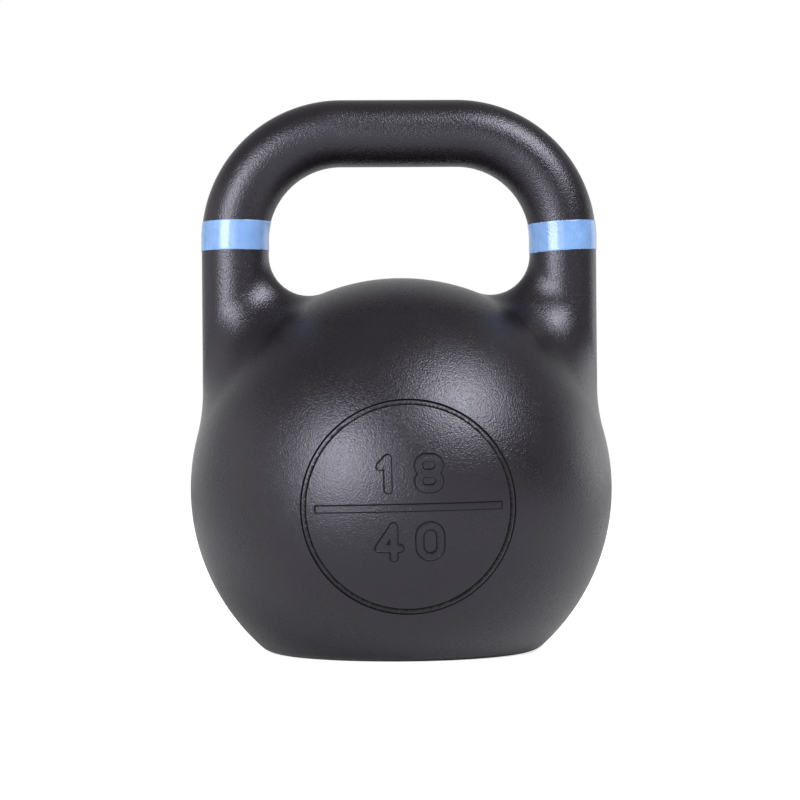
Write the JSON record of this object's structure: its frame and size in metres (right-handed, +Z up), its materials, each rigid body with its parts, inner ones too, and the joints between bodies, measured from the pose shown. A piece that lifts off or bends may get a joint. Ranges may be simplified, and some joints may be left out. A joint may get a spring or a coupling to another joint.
{
  "type": "kettlebell",
  "caption": "Standard-size competition kettlebell: hollow cast ball with horns, bent round handle, colour bands, ballast clamped to a welded base plate.",
  "frame": {"origin": "on the floor under the ball's centre, at the middle of the flat base", "axes": "+Z up along the height, the weight mark faces -Y, +X runs along the grip to the right of someone who reads the mark"},
  "size_m": [0.21, 0.21, 0.275],
  "materials": {
    "black_coat": "satin",
    "blue_band": "gloss",
    "weld_steel": "satin",
    "ballast_iron": "matte",
    "pad_rubber": "matte",
    "plated_steel": "satin"
  },
  "bodies": {
    "root": {"ball_shell": "black_coat", "handle_arch": "black_coat", "left_weld_ring": "weld_steel", "right_weld_ring": "weld_steel", "left_colour_band": "blue_band", "right_colour_band": "blue_band", "base_plate": "black_coat", "base_weld_ring": "black_coat", "ballast_core": "ballast_iron", "ballast_pad": "pad_rubber", "ballast_washer": "plated_steel", "ballast_bolt": "plated_steel"}
  },
  "joints": []
}
